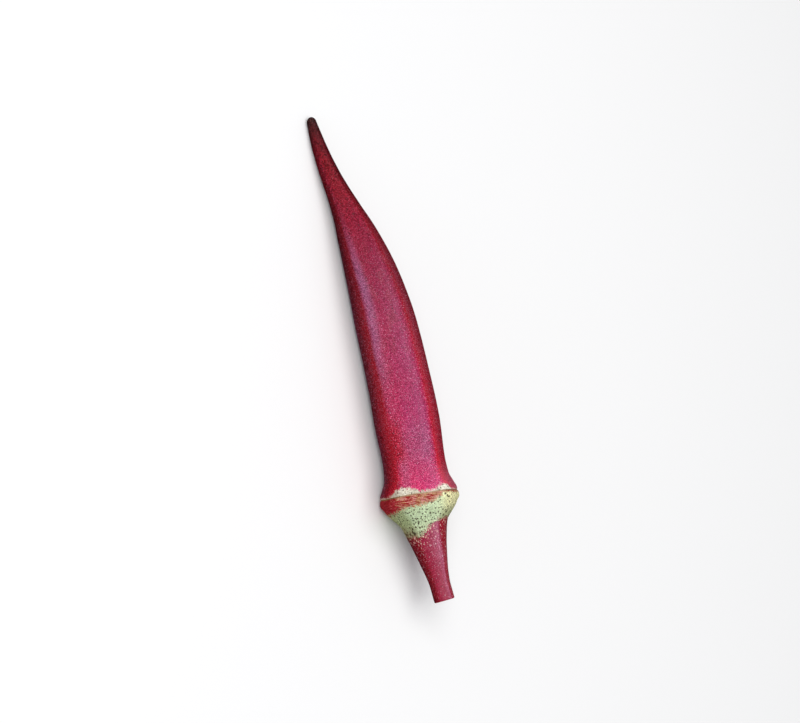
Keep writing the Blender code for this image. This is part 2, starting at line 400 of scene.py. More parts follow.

# %% [markdown]
# ## Zones that run lengthwise
# The faces and ribs of the pod differ in colour from its ring to its beak: pink bloom with a painted sheen on
# the broad face, plain red on the ribs, a painted violet reflection beside the near rib, painted deep shade
# on what turns away. Each is a soft zone, a table of keys round the pod times one along it, and the angle
# wavers a little so that no edge runs straight.

# %% Bloom with painted sheen, painted shade and yellow light round the pod
# Bloom: the pink of the broad face and a painted sheen where it turns to the lamp; it also paints light on
# the cap and stalk.
BLOOM_AND_SHEEN = (
    (-150, 0.10), (-112, 0.45), (-80, 0.10), (-40, 0.10), (-20, 0.10), (-8, 0.08), (-3, 0.14), (1, 0.48),
    (4, 0.80), (8, 0.97), (13, 1.0), (20, 0.95), (36, 0.87), (50, 0.75), (58, 0.64), (66, 0.48), (71, 0.30),
    (77, 0.06), (84, 0.0), (110, 0.0), (150, 0.15), (180, 0.30),
)
SHADE = (
    (-150, 0.9), (-110, 0.6), (-72, 0.90), (-52, 0.75), (-32, 0.36), (-14, 0.02), (0, 0.0), (64, 0.0),
    (72, 0.26), (84, 0.50), (96, 0.67), (108, 0.85), (122, 1.10), (144, 1.32), (180, 0.95),
)
BEAK_SHADE = (
    (-150, 0.2), (-40, 0.6), (-10, 0.60), (5, 0.45), (18, 0.22), (32, 0.0), (60, 0.0), (75, 0.0), (110, -0.2),
    (144, -0.3), (180, 0.0),
)
BEAK_ALONG = ((0.0, 0.0), (0.72, 0.0), (0.86, 1.0), (1.0, 1.0))
YELLOW = (
    (-150, 0.4), (-100, 0.6), (-50, 1.0), (-8, 1.0), (2, 0.70), (10, 0.30), (20, 0.06), (30, 0.0), (110, 0.0),
    (160, 0.5),
)

# %% Painted violet reflection, painted lilac highlight and painted shade wedge
# A painted violet reflection beside the near rib and beside two other ribs.
VIOLET_REFLECTION = (
    (-140, 0.0), (-90, 0.7), (-78, 0.9), (-68, 0.0), (-14, 0.1), (0, 0.0), (48, 0.0), (54, 0.12), (59, 0.50),
    (63, 0.85), (69, 1.0), (74, 0.50), (80, 0.0), (132, 0.0), (141, 0.2), (147, 0.0),
)
VIOLET_REFLECTION_ALONG = (
    (0.0, 0.35), (0.05, 0.40), (0.12, 0.50), (0.18, 0.24), (0.24, 0.20), (0.30, 0.40), (0.41, 0.75),
    (0.53, 0.90), (0.63, 0.48), (0.74, 0.09), (0.85, 0.04), (0.95, 0.0),
)
# The painted violet reflection drifts towards the broad face by these degrees.
VIOLET_REFLECTION_DRIFT = ((0.0, 5.0), (0.14, 5.0), (0.26, 0.0), (0.36, 0.0), (0.46, 4.5), (0.54, 3.0), (0.64, 0.0))
# A faint painted lilac highlight lies across the broad face, a little way from the ring.
LILAC_HIGHLIGHT_ROUND = ((0, 0.0), (18, 1.0), (50, 1.0), (66, 0.0))
LILAC_HIGHLIGHT_ALONG = ((0.07, 0.0), (0.11, 0.20), (0.15, 0.20), (0.19, 0.0))
# A wedge of painted shade, darker red, reaches in from the near rib there.
SHADE_WEDGE_ROUND = ((50, 0.0), (64, 1.0), (90, 1.0), (110, 0.0))
SHADE_WEDGE_ALONG = ((0.07, 0.0), (0.11, 0.80), (0.15, 0.80), (0.22, 0.0))
WEDGE_SHADE = 0.58

# %% Zone values at every point of the skin
ZONE_WAVER = math.radians(2.5)
ZONE_WAVER_SIZE = 0.012

share_along = station_share(skin_station)
wavering = slow_noise(np.stack([skin_station] * 3, axis=1), ZONE_WAVER_SIZE, seed=9)
side_angle = skin_angle + ZONE_WAVER * wavering
reflection_angle = side_angle + np.radians(smooth_through(VIOLET_REFLECTION_DRIFT, share_along))


def zone(keys_round, keys_along, angle):
    """A soft zone: a table of keys round the pod times a table along it."""
    return round_keys(keys_round, angle) * smooth_through(keys_along, share_along)


# The wedge is painted shade: it darkens the skin and takes the painted sheen and reflection away there.
shade_wedge = zone(SHADE_WEDGE_ROUND, SHADE_WEDGE_ALONG, side_angle)
bloom = round_keys(BLOOM_AND_SHEEN, side_angle) * (1 - shade_wedge)
violet = np.maximum(zone(VIOLET_REFLECTION, VIOLET_REFLECTION_ALONG, reflection_angle), zone(LILAC_HIGHLIGHT_ROUND, LILAC_HIGHLIGHT_ALONG, side_angle))
violet = violet * (1 - shade_wedge)
shade = round_keys(SHADE, side_angle) + zone(BEAK_SHADE, BEAK_ALONG, side_angle)
shade = np.maximum(shade, shade_wedge * WEDGE_SHADE)
yellow = round_keys(YELLOW, side_angle)
print("shade from %.2f to %.2f" % (shade.min(), shade.max()))

# %% Store them on the mesh
SCAR_PULL_MM = 6
OFF_THE_CUT = 2


def store(piece, name, values):
    kind = "FLOAT_VECTOR" if values.ndim == 2 else "FLOAT"
    layer = piece.data.attributes.new(name, kind, "POINT")
    layer.data.foreach_set("vector" if kind == "FLOAT_VECTOR" else "value", values.astype(np.float32).ravel())


# Near the ring the stations are counted from the wavering scar line, so the colours waver with it.
scar_shift_mm = 1000 * (scar_line(skin_angle) - SCAR_STATION) * np.exp(-((along_mm / SCAR_PULL_MM) ** 2))
straight_pod = np.stack(
    [skin_station, skin_radius * np.cos(skin_angle), skin_radius * np.sin(skin_angle)], axis=1
)
cut_radius = STALK_RADIUS * CUT_FLARE - CUT_BEVEL
skin_values = {
    "straight_mm": straight_pod * 1000,
    "along_mm": along_mm - scar_shift_mm,
    "cream_mm": cream_mm,
    "band_mm": band_mm,
    "green_mm": green_mm,
    "bloom": bloom,
    "violet": violet,
    "shade": shade,
    "yellow": yellow,
    "cut_share": np.where(on_cut, skin_radius / cut_radius, OFF_THE_CUT),
}
for name, values in skin_values.items():
    store(skin, name, values)
print("stored on the skin:", ", ".join(skin_values))

# %% [markdown]
# ## Writing a material as a sum
# Blender's materials are graphs of nodes, which read badly as code. This small class wraps one output of a
# node, so that adding, multiplying or comparing two of them in Python adds the right Math node.

# %% A value that Python can do sums with
class Value:
    """One output of a node. Sums on it add Math nodes to its material."""

    def __init__(self, finish, socket):
        self.finish = finish
        self.socket = socket

    def sum_with(self, operation, *terms):
        return self.finish.node("ShaderNodeMath", {"operation": operation}, dict(enumerate(terms)))

    def __add__(self, other):
        return self.sum_with("ADD", self, other)

    def __radd__(self, other):
        return self.sum_with("ADD", other, self)

    def __sub__(self, other):
        return self.sum_with("SUBTRACT", self, other)

    def __rsub__(self, other):
        return self.sum_with("SUBTRACT", other, self)

    def __mul__(self, other):
        return self.sum_with("MULTIPLY", self, other)

    def __truediv__(self, other):
        return self.sum_with("DIVIDE", self, other)

    def power(self, exponent):
        return self.sum_with("POWER", self, exponent)

    def at_least(self, smallest):
        return self.sum_with("MAXIMUM", self, smallest)

    def off_zero(self):
        """How far the value is from zero, whichever side it is on."""
        return self.sum_with("MAXIMUM", self, 0 - self)

    def rising(self, low, high):
        """0 below low, 1 above high, and smooth between. With low above high it falls instead."""
        settings = {"interpolation_type": "SMOOTHSTEP"}
        inputs = {"Value": self, "From Min": low, "From Max": high}
        return self.finish.node("ShaderNodeMapRange", settings, inputs)


# %% A material made in code
class Finish:
    """A material with a Principled shader, and one method that adds any other node."""

    def __init__(self, name):
        self.material = bpy.data.materials.new(name)
        self.material.use_nodes = True
        self.tree = self.material.node_tree
        self.shader = self.tree.nodes["Principled BSDF"]

    def plug(self, socket, value):
        if isinstance(value, Value):
            self.tree.links.new(value.socket, socket)
        else:
            socket.default_value = value

    def node(self, kind, settings, inputs, output=0):
        """Adds a node: its settings first, then the values or links of its sockets."""
        made = self.tree.nodes.new(kind)
        for name, value in settings.items():
            if name == "stops":
                stops = made.color_ramp.elements
                while len(stops) < len(value):
                    stops.new(1.0)
                for stop, (place, colour) in zip(stops, value):
                    stop.position = place
                    stop.color = (*colour, 1)
            else:
                setattr(made, name, value)
        for name, value in inputs.items():
            self.plug(made.inputs[name], value)
        return Value(self, made.outputs[output])

    def stored(self, name, output="Fac"):
        """What the mesh carries under this name."""
        return self.node("ShaderNodeAttribute", {"attribute_name": name}, {}, output)

    def speckle(self, place, scale, detail=2.0, roughness=0.5):
        """Cloudy noise, about 0.5 on average."""
        inputs = {"Vector": place, "Scale": scale, "Detail": detail, "Roughness": roughness}
        return self.node("ShaderNodeTexNoise", {"noise_dimensions": "3D"}, inputs)

    def cells(self, place, scale, output):
        """The space split into cells, one round each of many scattered points."""
        return self.node("ShaderNodeTexVoronoi", {"feature": "F1"}, {"Vector": place, "Scale": scale}, output)

    def spots(self, place, scale):
        """The distance to the nearest of many scattered points."""
        return self.cells(place, scale, "Distance")

    def grains(self, place, scale):
        """A different value, 0 to 1, in each of many small cells."""
        return self.cells(place, scale, "Color") * 1.0

    def stretched(self, place, factors):
        """Places multiplied by a factor for each direction."""
        return self.node("ShaderNodeVectorMath", {"operation": "MULTIPLY"}, {0: place, 1: factors})

    def mix(self, share, first, second, blend="MIX"):
        """One colour laid over another by a share from 0 to 1."""
        first, second = (c if isinstance(c, Value) else (*c, 1) for c in (first, second))
        settings = {"data_type": "RGBA", "blend_type": blend, "clamp_factor": True}
        return self.node("ShaderNodeMix", settings, {0: share, 6: first, 7: second}, 2)

    def relief(self, height, distance, strength):
        """Bumps of the given height, as a direction for the shader's Normal."""
        inputs = {"Height": height, "Distance": distance, "Strength": strength}
        return self.node("ShaderNodeBump", {}, inputs)

    def set(self, **inputs):
        """Sets the shader's sockets, their names written with _ for a space."""
        for name, value in inputs.items():
            self.plug(self.shader.inputs[name.replace("_", " ")], value)


# %% [markdown]
# ## What varies over the skin
# Every colour of the pod follows from a few things: how far along a point lies, the zone values stored on
# it, and noise of several sizes. Each is read or made once here and used by all the zones. The fine grain
# is a different grey in each of many tiny cells, as sandy as the real skin, where every pebble catches the
# light in its own way.

# %% Stored values
skin_finish = Finish("okra_skin")
place = skin_finish.stored("straight_mm", "Vector")
along = skin_finish.stored("along_mm")
cut_share = skin_finish.stored("cut_share")
bloom_and_sheen_share = skin_finish.stored("bloom")
violet_reflection_share = skin_finish.stored("violet")
shade_share = skin_finish.stored("shade")
yellow_light = skin_finish.stored("yellow")
body_share = along / (POD_LENGTH * 1000)
near_ring = along.rising(34.0, 10.0)

# %% Grain, glints and raggedness
GRAINS_PER_MM = 5.2
COARSE_GRAINS_PER_MM = 2.2
GLINTS_PER_MM = 1.7


def drawn_out(factor):
    """Places squeezed along the pod, so that a pattern read from them comes out drawn out lengthwise."""
    return skin_finish.stretched(place, (factor, 1.0, 1.0))


ragged = skin_finish.speckle(place, 0.75, detail=3.0, roughness=0.6)
ragged_fine = skin_finish.speckle(drawn_out(0.40), 3.2, detail=2.0, roughness=0.6)
cloudy = skin_finish.speckle(drawn_out(0.3), 0.25, detail=3.0)
grain = skin_finish.grains(place, GRAINS_PER_MM)
coarse_grain = skin_finish.grains(place, COARSE_GRAINS_PER_MM)
pale_grain = grain.rising(0.60, 0.85)
glints = skin_finish.spots(place, GLINTS_PER_MM).rising(0.22, 0.13) * (0.45 + coarse_grain * 0.55)
fray = (ragged - 0.5) * 2.4 + (ragged_fine - 0.5) * 3.0 + (grain - 0.5) * 0.9
grain_strength = 1.0 + shade_share * 0.7 + body_share.rising(0.60, 0.90) * 1.1 + near_ring * 0.10
rough_tone = ((grain - 0.5) * 1.7 + (coarse_grain - 0.5) * 0.12) * grain_strength


def grainy(colour, strength, level=1.0):
    """The colour made lighter and darker from grain to grain."""
    return skin_finish.mix(1.0, colour, level + rough_tone * strength, "MULTIPLY")


# %% [markdown]
# ## Zones along the pod
# A zone is a share from 0 to 1 made from the millimetres along the axis, so the colours follow the bend.
# Its width round the pod was stored on the mesh, and the fray makes its edge ragged, less or more from zone
# to zone.

# %% Zones along the pod
SCAR_MM = 0.42
CREAM_START_MM = 0.45
BAND_START_MM = -0.2

above_scar = along.rising(0.40, 0.50)
below_scar = 1 - above_scar
cream_edge = along - CREAM_START_MM - skin_finish.stored("cream_mm") + fray * 0.9
cream_zone = above_scar * cream_edge.rising(0.30, -0.30)
band_edge = along - BAND_START_MM + skin_finish.stored("band_mm") + fray * 1.15
band_zone = below_scar * band_edge.rising(-0.35, 0.35)
stalk_edge = along + skin_finish.stored("green_mm") + fray * 1.5
stalk_zone = stalk_edge.rising(0.5, -0.5)
scar_zone = (along - SCAR_MM).off_zero().rising(0.30, 0.10)
cut_zone = cut_share.rising(1.6, 1.4)

# %% [markdown]
# ## The body, from crimson to dry brown
# The skin is a deep red that darkens to maroon towards the beak and to dry brown at the tip. Two ramps run
# along it, one for the plain skin and one for the pink bloom and painted sheen of the broad face. Dull
# patches, painted deep shade and the painted violet reflection are laid over them, each by its own share.
# Last come the pale dots at the feet of the hairs and a few painted glints.

# %% Ramps from ring to tip
PLAIN_RED = (
    (0.00, (0.59, 0.018, 0.036)),
    (0.06, (0.55, 0.016, 0.032)),
    (0.20, (0.48, 0.013, 0.027)),
    (0.42, (0.37, 0.012, 0.022)),
    (0.53, (0.275, 0.009, 0.018)),
    (0.63, (0.270, 0.008, 0.016)),
    (0.78, (0.170, 0.005, 0.010)),
    (0.90, (0.130, 0.004, 0.009)),
    (0.945, (0.070, 0.008, 0.009)),
    (0.98, (0.038, 0.013, 0.011)),
    (1.00, (0.028, 0.016, 0.012)),
)
PINK_BLOOM_AND_SHEEN = (
    (0.00, (0.60, 0.030, 0.140)),
    (0.05, (0.48, 0.026, 0.116)),
    (0.11, (0.332, 0.025, 0.102)),
    (0.20, (0.346, 0.018, 0.094)),
    (0.42, (0.298, 0.020, 0.075)),
    (0.53, (0.252, 0.015, 0.055)),
    (0.63, (0.240, 0.010, 0.038)),
    (0.78, (0.225, 0.009, 0.020)),
    (0.88, (0.170, 0.005, 0.010)),
    (0.945, (0.100, 0.006, 0.009)),
    (0.98, (0.058, 0.010, 0.011)),
    (1.00, (0.030, 0.016, 0.012)),
)
plain = skin_finish.node("ShaderNodeValToRGB", {"stops": PLAIN_RED}, {"Fac": body_share})
pink_and_sheen = skin_finish.node("ShaderNodeValToRGB", {"stops": PINK_BLOOM_AND_SHEEN}, {"Fac": body_share})
print("ramps: %d stops plain, %d stops bloom" % (len(PLAIN_RED), len(PINK_BLOOM_AND_SHEEN)))

# %% Body: bloom and painted sheen, dull patches, painted shade and the painted violet reflection
DULL_ROSE = (0.27, 0.042, 0.062)
DEEP_SHADE = (0.030, 0.003, 0.005)
VIOLET_REFLECTION_GREY = (0.255, 0.082, 0.172)
DARKEST_GRAIN = 0.15

body = skin_finish.mix(bloom_and_sheen_share * (0.75 + cloudy * 0.5), plain, pink_and_sheen)
blotches = skin_finish.speckle(drawn_out(0.45), 0.42, detail=2.0)
dull_share = blotches.rising(0.46, 0.64) * body_share.rising(0.20, 0.44) * body_share.rising(0.72, 0.55)
dull_share = dull_share * (1.0 - shade_share) * 0.42
body = skin_finish.mix(dull_share, body, DULL_ROSE)
body = skin_finish.mix(shade_share * 0.70, body, DEEP_SHADE)
# The painted violet reflection beside the near rib, fading out towards the tip.
violet_reflection_now = violet_reflection_share * body_share.rising(0.97, 0.85) * (0.60 + cloudy * 0.7)
body = skin_finish.mix(violet_reflection_now, body, VIOLET_REFLECTION_GREY)
body = skin_finish.mix(1.0, body, (1.0 + rough_tone).at_least(DARKEST_GRAIN), "MULTIPLY")

# %% Body: painted lilac sheen, blush, pale dots and painted glints
LILAC_SHEEN = (0.66, 0.40, 0.60)
PALE_BLUSH = (0.95, 0.42, 0.62)
PALE_DOT = (0.82, 0.36, 0.56)
GLINT = (0.92, 0.52, 0.74)

tip_fade = body_share.rising(0.85, 0.30) * 0.85 + 0.15
# A faint painted lilac sheen where the broad face is most lit.
lilac_sheen_share = bloom_and_sheen_share.power(14.0) * body_share.rising(0.66, 0.45) * (0.02 + cloudy * 0.07)
body = skin_finish.mix(lilac_sheen_share, body, LILAC_SHEEN)
ring_blush = yellow_light * along.rising(12.0, 4.0) * (0.04 + cloudy * 0.14)
body = skin_finish.mix(ring_blush, body, PALE_BLUSH)
bloom_and_sheen_near_ring = near_ring * bloom_and_sheen_share
red_near_ring = near_ring * (1.0 - bloom_and_sheen_share)
dot_strength = 0.08 + bloom_and_sheen_share * 0.08 + violet_reflection_share * 0.20 + bloom_and_sheen_near_ring * 0.13 - red_near_ring * 0.06
dot_share = pale_grain * tip_fade * (1.0 - shade_share * 0.25) * dot_strength
body = skin_finish.mix(dot_share, body, PALE_DOT)
glint_share = glints * tip_fade * (0.75 + bloom_and_sheen_near_ring * 0.25 - red_near_ring * 0.45)
body = skin_finish.mix(glint_share, body, GLINT)

# %% [markdown]
# ## The pale green cap
# The cap is pale green where the painted sheen of the broad face falls and duller beside it, yellowish near
# the ring by the top rib, and olive with painted shade where it turns away. Dark specks dot it. They crowd
# towards the stalk, where brown mottling creeps up. Specks come from the distance to scattered points: where
# it is small, there is a speck.

# %% Cap
DULL_SHADED_GREEN = (0.32, 0.39, 0.20)
PALE_LIT_GREEN = (0.56, 0.68, 0.43)
YELLOW_GREEN = (0.90, 0.86, 0.48)
OLIVE_SHADE = (0.24, 0.24, 0.10)
FINE_SPECK = (0.17, 0.14, 0.07)
BLACK_SPECK = (0.016, 0.014, 0.008)
BROWN_SPECK = (0.070, 0.026, 0.018)
MOTTLE_BROWN = (0.15, 0.045, 0.030)
GREEN_LEVEL = 1.03
SPECKS_PER_MM = 1.05
FINE_SPECKS_PER_MM = 2.7

cap_shade = skin_finish.speckle(place, 0.30, detail=3.0)
# The painted sheen of the broad face lightens the green, and painted shade darkens it to olive.
green = skin_finish.mix(bloom_and_sheen_share + (cap_shade - 0.5) * 1.2, DULL_SHADED_GREEN, PALE_LIT_GREEN)
green = skin_finish.mix(yellow_light * (along + 10.0).rising(0.0, 8.0), green, YELLOW_GREEN)
green = skin_finish.mix(shade_share * 0.45, green, OLIVE_SHADE)
green = grainy(green, 0.65, GREEN_LEVEL)
crowding = (1.0 - bloom_and_sheen_share) * (stalk_edge.rising(6.0, 1.0) * 0.10 + 0.02) + (ragged - 0.5) * 0.25
specks = (skin_finish.spots(drawn_out(0.7), SPECKS_PER_MM) - crowding).rising(0.34, 0.24)
fine_specks = (skin_finish.spots(drawn_out(0.7), FINE_SPECKS_PER_MM) - crowding).rising(0.30, 0.20)
speck_tone = skin_finish.mix(coarse_grain, BLACK_SPECK, BROWN_SPECK)
green = skin_finish.mix(fine_specks * 0.45, green, FINE_SPECK)
mottle_share = (ragged_fine + grain * 0.15).rising(0.46, 0.62) * stalk_edge.rising(5.5, 0.5)
mottle_share = mottle_share * (1.0 - bloom_and_sheen_share) * (1.0 - yellow_light)
green = skin_finish.mix(mottle_share * 0.85, green, MOTTLE_BROWN)
green = skin_finish.mix(specks * 0.92, green, speck_tone)

# %% [markdown]
# ## The red band under the scar
# Between the scar line and the green runs a red band, streaked round the ring and torn into tan patches,
# most of them right under the scar. The streaks are noise that is squeezed along the pod and drawn out
# round it.

# %% Band
BAND_DARK = (0.25, 0.011, 0.012)
BAND_LIGHT = (0.43, 0.035, 0.048)
BAND_SHADE = (0.12, 0.006, 0.008)
PINKISH_TAN = ((0.46, 0.16, 0.13), (0.70, 0.40, 0.32))
OLIVE_TAN = ((0.30, 0.16, 0.05), (0.62, 0.42, 0.22))
ROUND_THE_RING = (2.6, 0.28, 0.28)

streaks = skin_finish.speckle(skin_finish.stretched(place, ROUND_THE_RING), 1.25, detail=2.0, roughness=0.6)
band = skin_finish.mix(streaks.rising(0.35, 0.60), BAND_DARK, BAND_LIGHT)
band = skin_finish.mix(shade_share.rising(0.4, 1.1) * 0.5, band, BAND_SHADE)
below_ring = (along + 1.4).rising(0.0, 1.2) * 0.05
tan_share = streaks + cap_shade * 0.22 + below_ring + bloom_and_sheen_share * 0.09 - shade_share * 0.20
pinkish_tan = skin_finish.mix(grain, *PINKISH_TAN)
olive_tan = skin_finish.mix(grain, *OLIVE_TAN)
tan = skin_finish.mix(ragged.rising(0.42, 0.58), pinkish_tan, olive_tan)
band = skin_finish.mix(tan_share.rising(0.59, 0.73) * 0.80, band, tan)
band = grainy(band, 0.5)

# %% [markdown]
# ## The crimson stalk and its cut end
# The stalk is crimson, pinker under the painted sheen and darker with painted shade where it turns away, with
# a painted highlight streak along its bright face and short pale flecks. Towards the green it has tan flecks.
# Its cut end, turned away from the camera, shows pale pith inside a red rind.

# %% Stalk and cut end
STALK_RED = (0.27, 0.009, 0.018)
STALK_PINK_SHEEN = (0.295, 0.020, 0.060)
STALK_SHADE = (0.035, 0.003, 0.005)
STALK_HIGHLIGHT = (0.50, 0.15, 0.25)
STALK_DOT = (0.85, 0.40, 0.50)
STALK_GLINT = (0.92, 0.68, 0.74)
TAN_FLECK = (0.78, 0.46, 0.36)
PITH_CORE = (0.70, 0.70, 0.48)
PITH_EDGE = (0.55, 0.52, 0.26)
RIND = (0.50, 0.12, 0.13)
FLECKS_PER_MM = 1.3

flecks = skin_finish.spots(drawn_out(0.5), FLECKS_PER_MM)
flecks = flecks + (coarse_grain - 0.5) * 0.25 + (ragged_fine - 0.5) * 0.7
# Painted sheen makes the lit side pinker, painted shade darkens the far side, and a painted highlight streak
# runs along the lit face.
stalk = skin_finish.mix(bloom_and_sheen_share * 0.9, STALK_RED, STALK_PINK_SHEEN)
stalk = skin_finish.mix(shade_share * 0.75, stalk, STALK_SHADE)
upper_highlight = bloom_and_sheen_share.power(10.0) * along.rising(-29.0, -20.0) * (ragged_fine * 1.7).power(2.0)
lower_highlight = bloom_and_sheen_share * yellow_light * along.rising(-16.0, -23.0) * 1.5
highlight_share = upper_highlight.at_least(lower_highlight)
stalk = skin_finish.mix(highlight_share * 0.70, stalk, STALK_HIGHLIGHT)
stalk = grainy(stalk, 0.6)
stalk = skin_finish.mix(pale_grain * (0.03 + highlight_share * 0.25), stalk, STALK_DOT)
stalk_glints = glints.at_least(flecks.rising(0.15, 0.08)) * (0.27 + along.rising(-30.0, -14.0) * 0.53)
stalk = skin_finish.mix(stalk_glints * (1.0 - shade_share * 0.7), stalk, STALK_GLINT)
near_green = stalk_edge.rising(-7.0, -0.3)
stalk = skin_finish.mix(near_green * flecks.rising(0.36, 0.22) * 0.65, stalk, TAN_FLECK)
pith = skin_finish.mix(cut_share.rising(0.45, 0.62), PITH_CORE, PITH_EDGE)
pith = skin_finish.mix(cut_share.rising(0.78, 0.95), pith, RIND)

# %% [markdown]
# ## The cream rim and the scar
# Where the calyx broke away it left a thin brown line, and just above it a ragged rim of cream. Both are
# laid over the body and the cap last, so that their edges stay sharp.

# %% Cream rim and scar
CREAM_DULL = (0.58, 0.54, 0.42)
CREAM_LIGHT = (0.99, 0.95, 0.83)
CREAM_STAIN = (0.42, 0.34, 0.20)
CREAM_SPECK = (0.30, 0.20, 0.12)
CREAM_SHADE = (0.35, 0.18, 0.12)
SCAR_GRAIN = ((0.26, 0.14, 0.07), (0.60, 0.43, 0.28))
SCAR_BROWN = (0.19, 0.10, 0.035)

cream_light = cap_shade.rising(0.35, 0.65) * 0.35 + yellow_light * 0.7
cream = grainy(skin_finish.mix(cream_light, CREAM_DULL, CREAM_LIGHT), 0.45)
stain_share = ragged_fine.rising(0.52, 0.62) * (1.0 - yellow_light * 0.6) * 0.6
cream = skin_finish.mix(stain_share, cream, CREAM_STAIN)
cream = skin_finish.mix(fine_specks * 0.45, cream, CREAM_SPECK)
cream = skin_finish.mix(specks * 0.75, cream, speck_tone)
cream = skin_finish.mix(shade_share * 0.5, cream, CREAM_SHADE)
scar_tone = skin_finish.mix(bloom_and_sheen_share, SCAR_BROWN, skin_finish.mix(grain, *SCAR_GRAIN))

# %% Lay the zones over each other
colour = skin_finish.mix(below_scar, body, green)
colour = skin_finish.mix(band_zone, colour, band)
colour = skin_finish.mix(stalk_zone, colour, stalk)
colour = skin_finish.mix(cream_zone, colour, cream)
colour = skin_finish.mix(scar_zone * 0.9, colour, scar_tone)
colour = skin_finish.mix(cut_zone, colour, pith)

# %% [markdown]
# ## How the skin feels
# Under a lens the skin is finely pebbled, each pebble the foot of a bristle, with faint lines along its
# length. That breaks the light up into the sandy sparkle seen on the pod. A thin waxy coat shines only
# where the bloom and painted sheen are.

# %% Relief and gloss
PEBBLE_HEIGHT = 0.00012
PEBBLES_PER_MM = 3.0

pebbles = skin_finish.spots(place, PEBBLES_PER_MM)
lines = skin_finish.speckle(drawn_out(0.12), 2.2, detail=2.0)
height = (1 - pebbles) * 0.9 + lines * 0.5
skin_finish.set(
    Base_Color=colour,
    Roughness=0.42 + grain * 0.12,
    Normal=skin_finish.relief(height, PEBBLE_HEIGHT, strength=0.5),
    Specular_IOR_Level=0.0,
    Coat_Weight=bloom_and_sheen_share * (0.14 + stalk_zone * 0.26),
    Coat_Roughness=0.34,
)
skin.data.materials.append(skin_finish.material)
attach(skin, "root")
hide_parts("okra_pod")
print("skin material: %d nodes" % len(skin_finish.tree.nodes))

# %% [markdown]
# ## Bristles
# The whole pod is set with short stiff pale hairs, which show as a soft light rim against anything dark.
# Blender has a hair system, but real triangles travel further: one three-sided cone is made with an
# operator, then copied to thousands of places on the skin, each turned along the skin's own outward
# direction.

# %% One bristle
CONE_MERGE_DISTANCE = 1e-5


def one_bristle():
    """Corners and faces of a cone one unit long and one unit thick at its foot."""
    cone = bmesh.new()
    bmesh.ops.create_cone(cone, cap_ends=False, segments=3, radius1=0.5, radius2=0.0, depth=1.0)
    bmesh.ops.translate(cone, verts=cone.verts[:], vec=(0, 0, 0.5))
    bmesh.ops.remove_doubles(cone, verts=cone.verts[:], dist=CONE_MERGE_DISTANCE)
    bmesh.ops.recalc_face_normals(cone, faces=cone.faces[:])
    cone.verts.index_update()
    corners = np.array([v.co[:] for v in cone.verts])
    faces = np.array([[v.index for v in f.verts] for f in cone.faces])
    cone.free()
    return corners, faces


bristle_corners, bristle_faces = one_bristle()
print("one bristle: %d corners, %d faces" % (len(bristle_corners), len(bristle_faces)))

# %% Where bristles stand
BRISTLE_FADE = 0.006
TRIES_PER_BRISTLE = 3


def scattered(draw, count, stations, rib_spread):
    """Stations and angles of bristles: even over the skin, thinned out towards both ends of the coat."""
    first, last = stations
    tries = draw.uniform(first, last, count * TRIES_PER_BRISTLE)
    fade = np.clip(np.minimum(tries - first, last - tries) / BRISTLE_FADE, 0, 1)
    keep = draw.uniform(0, RING_RADIUS, len(tries)) < smooth_through(RADIUS_KEYS, tries) * fade
    station = tries[keep][:count]
    angle = draw.uniform(0, 2 * math.pi, len(station))
    if rib_spread:
        angle = np.round(angle / RIB_STEP) * RIB_STEP + draw.normal(0, rib_spread, len(station))
    return station, angle


# %% Which way is out
PROBE_STEP = 0.0003


def unit(vectors):
    """The same directions, each one long."""
    return vectors / np.maximum(np.linalg.norm(vectors, axis=1), NEARLY_ZERO)[:, None]


def feet(station, angle):
    """Places on the skin, with the directions out of it and towards the beak."""
    radius = smooth_through(RADIUS_KEYS, station)
    foot = lay_down(station, angle, radius)
    further = station + PROBE_STEP
    ahead = lay_down(further, angle, smooth_through(RADIUS_KEYS, further)) - foot
    around = lay_down(station, angle + PROBE_STEP / radius, radius) - foot
    return foot, unit(np.cross(around, ahead)), unit(ahead)


# %% A coat of bristles
SWAY = 0.28
THICKNESS_SPREAD = (0.7, 1.3)
ROOT_DEPTH = 0.00002
FLOOR_GAP = 0.00002


def bristle_piece(name, corners):
    """One piece from the corners of all its bristles."""
    faces = bristle_faces[None] + np.arange(len(corners))[:, None, None] * len(bristle_corners)
    mesh = bpy.data.meshes.new(name)
    mesh.vertices.add(corners.size // 3)
    mesh.vertices.foreach_set("co", corners.ravel())
    mesh.loops.add(faces.size)
    mesh.loops.foreach_set("vertex_index", faces.ravel())
    mesh.polygons.add(faces.size // 3)
    mesh.polygons.foreach_set("loop_start", np.arange(faces.size // 3) * 3)
    mesh.update()
    piece = bpy.data.objects.new(name, mesh)
    bpy.context.scene.collection.objects.link(piece)
    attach(piece, "root")
    print("%s: %d bristles, %d faces" % (name, len(corners), len(mesh.polygons)))
    return piece


def coat(name, count, stations, length, thickness, tilt, seed, rib_spread=None):
    """A piece made of bristles between two stations, on the whole skin or only near the ribs."""
    draw = np.random.default_rng(seed)
    foot, outward, ahead = feet(*scattered(draw, count, stations, rib_spread))
    lean = unit(outward + ahead * tilt + draw.normal(0, SWAY, foot.shape))
    side = unit(np.cross(lean, draw.normal(0, 1, foot.shape)))
    other = np.cross(lean, side)
    long = draw.uniform(*length, len(foot))[:, None]
    thick = draw.uniform(*THICKNESS_SPREAD, len(foot))[:, None] * thickness
    foot = foot - outward * ROOT_DEPTH
    corners = [foot + (side * x + other * y) * thick + lean * long * z for x, y, z in bristle_corners]
    corners = np.stack(corners, axis=1)
    clear_of_floor = corners[:, :, 2].min(axis=1) > box_low[2] + FLOOR_GAP
    return bristle_piece(name, corners[clear_of_floor])


# %% Bristle materials
TONES_PER_METRE = 900.0


